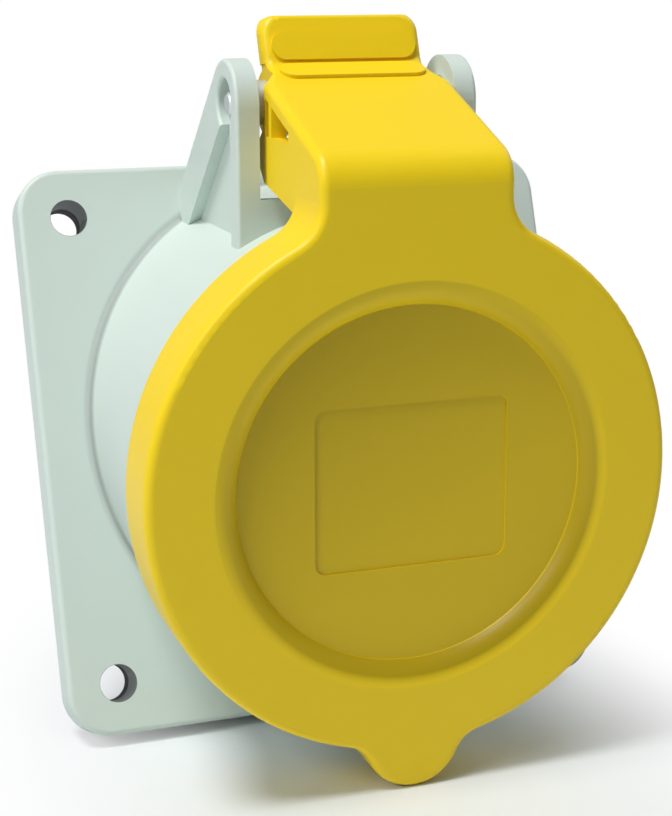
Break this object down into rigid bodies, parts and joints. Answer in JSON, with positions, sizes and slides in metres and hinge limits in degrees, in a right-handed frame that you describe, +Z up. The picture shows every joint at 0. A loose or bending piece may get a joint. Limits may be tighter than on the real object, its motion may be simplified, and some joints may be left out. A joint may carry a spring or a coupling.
{
  "type": "panel socket outlet",
  "caption": "Angled panel-mounted pin and sleeve socket outlet: square grey flange with a tilted round sleeve, hinge ears and a sprung yellow lid with a thumb tab and a blank label frame.",
  "frame": {"origin": "centre of the four fixing holes, in the plane of the panel (the gasket's rear face)", "axes": "+Z up, -Y towards the person who plugs in, +Y into the panel; the sleeve points forward and 20.35 degrees down"},
  "size_m": [0.085, 0.0937, 0.1084],
  "materials": {
    "housing_plastic": "light grey-green moulded plastic, satin",
    "lid_plastic": "yellow moulded plastic, satin to gloss",
    "carrier_plastic": "black moulded plastic",
    "brass": "turned brass",
    "steel": "zinc-plated or stainless steel",
    "soft_rubber": "soft black rubber"
  },
  "bodies": {
    "housing_body": {"housing": "housing_plastic", "panel_gasket": "soft_rubber", "hinge_pin": "steel", "hinge_spacers": "steel", "seal_carrier": "carrier_plastic", "contact_carrier": "carrier_plastic", "carrier_seal": "soft_rubber", "terminal_block": "carrier_plastic", "assembly_screws": "steel", "earth_contact": "brass", "line_contact_1": "brass", "line_contact_2": "brass", "earth_clip": "steel", "line_clip_1": "steel", "line_clip_2": "steel", "earth_screw": "steel", "line_screw_1": "steel", "line_screw_2": "steel", "earth_pad": "steel", "line_pad_1": "steel", "line_pad_2": "steel"},
    "lid_body": {"lid": "lid_plastic", "lid_gasket": "soft_rubber", "lid_spring": "steel"}
  },
  "joints": [
    {"name": "lid_hinge", "type": "hinge", "parent": "housing_body", "child": "lid_body", "pos_m": [0, -0.03927, 0.04325], "axis": [-1, 0, 0], "range_deg": [0, 110], "stiffness_Nm_per_rad": 0.05, "springref_deg": -57.3}
  ]
}
